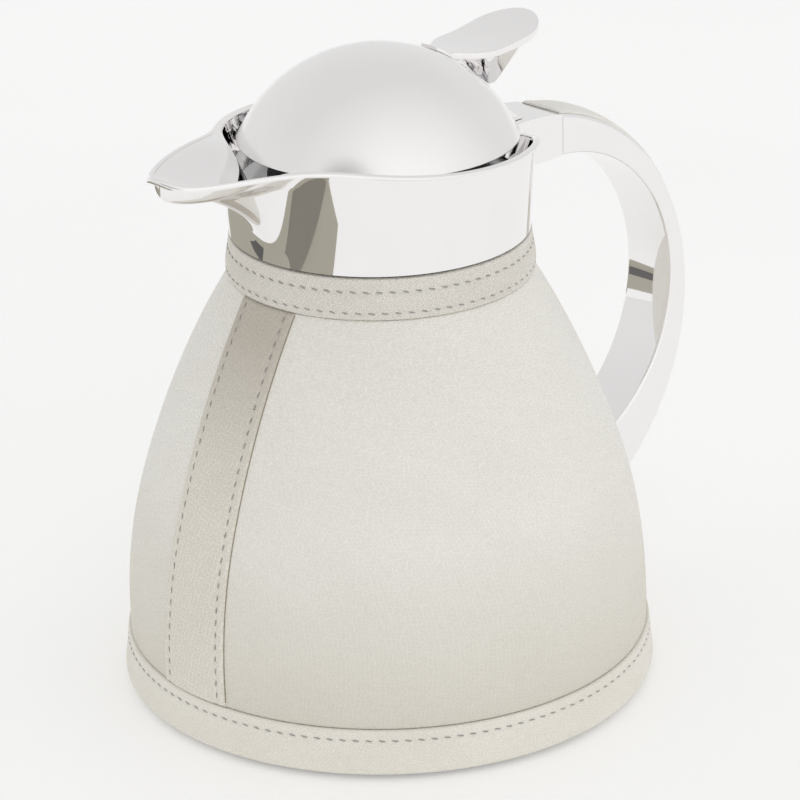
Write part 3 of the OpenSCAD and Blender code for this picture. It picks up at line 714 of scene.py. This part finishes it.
def throat_ring():
    """Turned ring in the collar, with a conical seat for the plug."""
    skirt, rim, seat = NECK_R - 1.1, BORE_R - 0.1, 145.0
    points = [(skirt - 1.5, 128), (skirt, 128), (skirt, COLLAR_Z - 0.2), (rim, COLLAR_Z), (rim, seat + 2.2),
              (31.5, seat), (24.5, seat), (24.5, seat - 3), (skirt - 1.5, seat - 3)]
    outline = rounded(points, [0.2, 0.2, 0, 0, 0.12, 0.8, 0.4, 0.4, 0.4])
    return turned("throat_ring", outline, satin_steel, "carafe", count=192, slot="steel",
                  replaced=["throat_ring"])


# ---------------------------------------------------------------- lid

DOME_R, DOME_Z, DOME_RIM_Z, DOME_T = 43.3, 142.4, 160.3, 1.2


def lid_dome():
    """Spun dome with a softly turned lower edge."""
    low = math.asin((DOME_RIM_Z - DOME_Z) / DOME_R)
    up = np.linspace(low, math.pi / 2, 60)
    outer = [(DOME_R * math.cos(a), DOME_Z + DOME_R * math.sin(a)) for a in up]
    inside = DOME_R - DOME_T
    low_in = math.asin((DOME_RIM_Z - DOME_Z) / inside)
    inner = [(inside * math.cos(a), DOME_Z + inside * math.sin(a))
             for a in np.linspace(math.pi / 2, low_in, 30)]
    edge = rounded([outer[1], outer[0], inner[-1], inner[-2]], [0, 0.55, 0.4, 0])
    outline = np.vstack([edge[::-1][1:], outer[2:-1], [(0.0, outer[-1][1])],
                         [(0.0, inner[0][1])], inner[1:-2]])
    return turned("lid_dome", outline, satin, "lid", count=256, slot="satin_chrome", replaced=["lid_dome"])


HUB_R, WIRE_R, COIL_TURNS = 8, 0.6, 4
COIL_LOW, COIL_HIGH, PLUG_TRAVEL = 152.15, 159.65, 1.5


def plug_coil():
    """Round wire coil between plug and dome, built at one length. The real coil shortens as the plug rises.
    """
    per_turn, sides = 48, 12
    n = COIL_TURNS * per_turn + 1
    a = np.linspace(0, 2 * math.pi * COIL_TURNS, n)[:, None]
    b = np.linspace(0, 2 * math.pi, sides, endpoint=False)[None, :]
    r = HUB_R + 2.5 + WIRE_R * np.cos(b)
    z = np.linspace(COIL_LOW, COIL_HIGH, n)[:, None] + WIRE_R * np.sin(b)
    verts = np.stack([r * np.cos(a), r * np.sin(a), z], -1).reshape(-1, 3)
    faces = grid_faces(n, sides, wrap_columns=True, flip=True) \
        + [list(reversed(range(sides))), [(n - 1) * sides + j for j in range(sides)]]
    piece = finish_piece("plug_coil", verts, faces, spring_steel, "lid", slot="steel",
                         replaced=["plug_spring"])
    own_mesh(piece)
    return piece


# ---------------------------------------------------------------- handle

OUTER, OUTER_R = np.array([50.2, 86.6]), 68.0
INNER, INNER_R = np.array([62.5, 92.0]), 48.6
HANDLE_W, SEAM_X = 18.0, 64.3
INLAY_W = 15.0


def rim_point(centre, radius, angle):
    return centre + radius * np.array([math.cos(angle), math.sin(angle)])


def handle_frame():
    """Cast loop: each section runs from the outer arc to the inner one, with eased edges."""
    top_o = math.acos((SEAM_X + 0.06 - OUTER[0]) / OUTER_R)
    top_i = math.acos((SEAM_X + 0.06 - INNER[0]) / INNER_R)
    end_x, ease = 66.0, 1.1   # where the loop ends, inside the skin, and the radius of its edges
    low_o, low_i = -math.acos((end_x - OUTER[0]) / OUTER_R), -math.acos((end_x - INNER[0]) / INNER_R)
    rows = []
    half = HANDLE_W / 2
    count = 180
    for i in range(count + 1):
        t = i / count
        a = rim_point(OUTER, OUTER_R, top_o + (low_o - top_o) * t)
        b = rim_point(INNER, INNER_R, top_i + (low_i - top_i) * t)
        depth = np.linalg.norm(a - b)
        way = (b - a) / depth
        ring = []
        for cu, cy, start in ((ease, -half + ease, 180), (depth - ease, -half + ease, 270),
                              (depth - ease, half - ease, 0), (ease, half - ease, 90)):
            for k in range(6):
                g = math.radians(start + 18 * k)
                ring.append((cu + ease * math.cos(g), cy + ease * math.sin(g)))
        rows.append([(a[0] + way[0] * d, y, a[1] + way[1] * d) for d, y in ring])
    rows = np.array(rows)
    n, m = rows.shape[:2]
    faces = grid_faces(n, m, wrap_columns=True) \
        + [list(range(m))[::-1], [(n - 1) * m + j for j in range(m)]]
    return finish_piece("handle_frame", rows.reshape(-1, 3), faces, chrome, "carafe", sharp=35, slot="chrome",
                        replaced=["handle_frame"])


def handle_inlay():
    """Crowned leather strip let into the handle's outer face."""
    first, last = -61.0, math.degrees(math.acos((SEAM_X - OUTER[0]) / OUTER_R))
    half = INLAY_W / 2
    angles = np.radians(np.linspace(first, last, 200))
    across = np.concatenate([-half + 0.5 * (1 - np.cos(np.linspace(0, math.pi / 2, 6))),
                             np.linspace(-half + 0.8, half - 0.8, 15),
                             half - 0.5 * (1 - np.cos(np.linspace(math.pi / 2, 0, 6)))])
    rows, places = [], []
    arc = (angles - angles[0]) * (OUTER_R + 1)
    for a, s in zip(angles, arc):
        ends, front = min(s, arc[-1] - s), min((arc[-1] - s) / 9, 1)
        close = math.sqrt(1 - (1 - min(ends / 0.9, 1)) ** 2)
        edge = np.clip((half - abs(across)) / 0.5, 0, 1)
        crown = 1.5 * (1 - (across / half) ** 2) * math.sin(front * math.pi / 2)
        lift = (0.7 * np.sqrt(1 - (1 - edge) ** 2) + crown) * (0.25 + 0.75 * close)
        r = OUTER_R + lift + 0.02
        rows.append(np.stack([OUTER[0] + r * math.cos(a), across, OUTER[1] + r * math.sin(a)], -1))
        places.append(np.stack([np.full_like(across, s), across], -1))
    top = np.array(rows)
    n, m = top.shape[:2]
    flat = np.array([np.stack([OUTER[0] + (OUTER_R - 0.3) * math.cos(a) + 0 * across, across,
                               OUTER[1] + (OUTER_R - 0.3) * math.sin(a) + 0 * across], -1) for a in angles])
    verts = np.vstack([top.reshape(-1, 3), flat.reshape(-1, 3)])
    faces = grid_faces(n, m, flip=True) + grid_faces(n, m, first=n * m)
    edge = [i * m for i in range(n)] + [(n - 1) * m + j for j in range(1, m)] \
        + [i * m + m - 1 for i in range(n - 2, -1, -1)] + list(range(m - 2, 0, -1))
    for a, b in zip(edge, edge[1:] + edge[:1]):
        faces.append([a, b, b + n * m, a + n * m])
    uv = np.vstack([np.array(places).reshape(-1, 2)] * 2)
    return finish_piece("handle_inlay", verts, faces, body_skin, "carafe", uv, slot="leather_trim",
                        replaced=["handle_inlay"])


# ---------------------------------------------------------------- build

body_leather()
front_strip()
neck_band()
base_band()
collar()
throat_ring()
lid_dome()
plug_coil()
handle_frame()
handle_inlay()

CAD_FINISH = {
    chrome: ["handle_block", "hinge_bracket", "thumb_lever"],
    steel: ["outer_shell", "base_ring", "base_plate", "handle_dowels", "handle_stud", "stud_nut", "hinge_pin",
            "hinge_leaf", "lid_plate", "lever_screws", "plug_post", "plug_screw"],
    spring_steel: ["hinge_spring"],
    silvered: ["glass_inner", "glass_outer"],
    rubber: ["mouth_gasket", "liner_cushion", "base_gasket", "foot_pad", "plug_gasket"],
    plastic: ["seal_plug"],
}
for finish, names in CAD_FINISH.items():
    for name in names:
        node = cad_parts[name]
        for place in node.material_slots:
            place.link = "OBJECT"
            place.material = finish


def ease_edges(name, grain, steps):
    """Rounds the edges of a cast piece and smooths its facets, within a fraction of a millimetre."""
    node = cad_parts[name]
    skin = node.modifiers.new("skin", "REMESH")
    skin.mode, skin.voxel_size, skin.use_smooth_shade = "VOXEL", grain * MM, True
    soft = node.modifiers.new("soft", "SMOOTH")
    soft.factor, soft.iterations = 0.5, steps


ease_edges("thumb_lever", 0.20, 16)
ease_edges("hinge_bracket", 0.16, 10)


# ---------------------------------------------------------------- floor and light

def floor():
    half_side, n = 3.0, 60   # in metres, and points along a side
    mesh = bpy.data.meshes.new("floor")
    xy = np.linspace(-half_side, half_side, n)
    x, y = np.meshgrid(xy, xy, indexing="ij")
    below = -0.0002  # clear of the foot pad's underside
    verts = np.stack([x, y, 0 * x + below], -1).reshape(-1, 3)
    mesh.from_pydata(verts.tolist(), [], grid_faces(n, n, flip=True))
    made, nodes, shader = material("floor_paint", Roughness=0.6, Emission_Color=(1, 1, 1, 1),
                                   Emission_Strength=0.22)
    place = nodes.add("ShaderNodeTexCoord").outputs["Object"]
    tone = nodes.mix(nodes.ramp(nodes.noise(place, 3.0), [(0.3, 0.0), (0.7, 1.0)]),
                     (0.86, 0.86, 0.855), (0.84, 0.84, 0.835))
    link(nodes, tone, shader, "Base Color")
    mesh.materials.append(made)
    plane = bpy.data.objects.new("floor", mesh)
    bpy.context.collection.objects.link(plane)


def studio():
    """A white tent: dimmer overhead, brighter low down and on the near side, with one soft darker gap."""
    world = bpy.data.worlds.new("studio")
    bpy.context.scene.world = world
    world.use_nodes = True
    nodes = Nodes(world.node_tree)
    back = world.node_tree.nodes["Background"]
    way = nodes.add("ShaderNodeTexCoord").outputs["Generated"]

    def towards(direction):
        return nodes.add("ShaderNodeVectorMath", {0: way, 1: tuple(Vector(direction).normalized())},
                         operation="DOT_PRODUCT").outputs["Value"]

    height = nodes.math("ADD", nodes.math("MULTIPLY", towards((0, 0, 1)), 0.5), 0.5)
    tone = nodes.ramp(height, [(0.50, 0.80), (0.62, 0.80), (0.82, 0.77), (1.0, 0.74)], smooth=False)
    key = nodes.math("MAXIMUM", towards((-0.30, -0.80, 0.42)), 0.0)
    key = nodes.math("MULTIPLY", nodes.math("POWER", key, 1.5), 0.24)
    gap = nodes.ramp(towards((-0.98, -0.35, 0.42)), [(0.900, 0.0), (0.985, 1.0)])
    tone = nodes.math("MULTIPLY", nodes.math("ADD", tone, key),
                      nodes.math("SUBTRACT", 1.0, nodes.math("MULTIPLY", gap, 0.45)))
    nodes.tree.links.new(tone, back.inputs["Color"])
    back.inputs["Strength"].default_value = 1.0


def card(name, corners, colour):
    """Sheet just above the floor that only the polished parts show: the camera doesn't see it, and it
    blocks no light."""
    mesh = bpy.data.meshes.new(name)
    n = 12
    a, b, c, d = (np.array(q, float) for q in corners)
    t = np.linspace(0, 1, n)
    u, v = np.meshgrid(t, t, indexing="ij")
    u, v = u[..., None], v[..., None]
    verts = a * (1 - u) * (1 - v) + b * u * (1 - v) + c * u * v + d * (1 - u) * v
    mesh.from_pydata(verts.reshape(-1, 3).tolist(), [], grid_faces(n, n))
    made, nodes, shader = material(name + "_paper", Roughness=0.7)
    place = nodes.add("ShaderNodeTexCoord").outputs["Object"]
    tone = nodes.mix(nodes.noise(place, 9.0), colour, tuple(k * 0.88 for k in colour))
    link(nodes, tone, shader, "Base Color")
    mesh.materials.append(made)
    sheet = bpy.data.objects.new(name, mesh)
    bpy.context.collection.objects.link(sheet)
    sheet.visible_camera = sheet.visible_diffuse = sheet.visible_shadow = False


floor()
studio()
# directions over the floor, as seen from the camera's starting place
left, near = np.array([-0.731, 0.682, 0]), np.array([-0.682, -0.731, 0])


def spot(to_left, to_near, height=0.004):
    return left * to_left + near * to_near + np.array([0, 0, height])


card("card_warm", [spot(0.15, -0.35), spot(0.17, 0.30), spot(0.75, 0.50), spot(0.75, -0.35)],
     (0.50, 0.47, 0.39))
card("card_dark", [spot(0.26, 0.10, 0.008), spot(0.22, 0.36, 0.008), spot(0.27, 0.38, 0.008),
                   spot(0.33, 0.12, 0.008)], (0.26, 0.24, 0.20))
card("card_low", [spot(0.19, -0.14, 0.008), spot(0.19, -0.04, 0.008), spot(0.27, -0.04, 0.008),
                  spot(0.27, -0.14, 0.008)], (0.12, 0.115, 0.11))
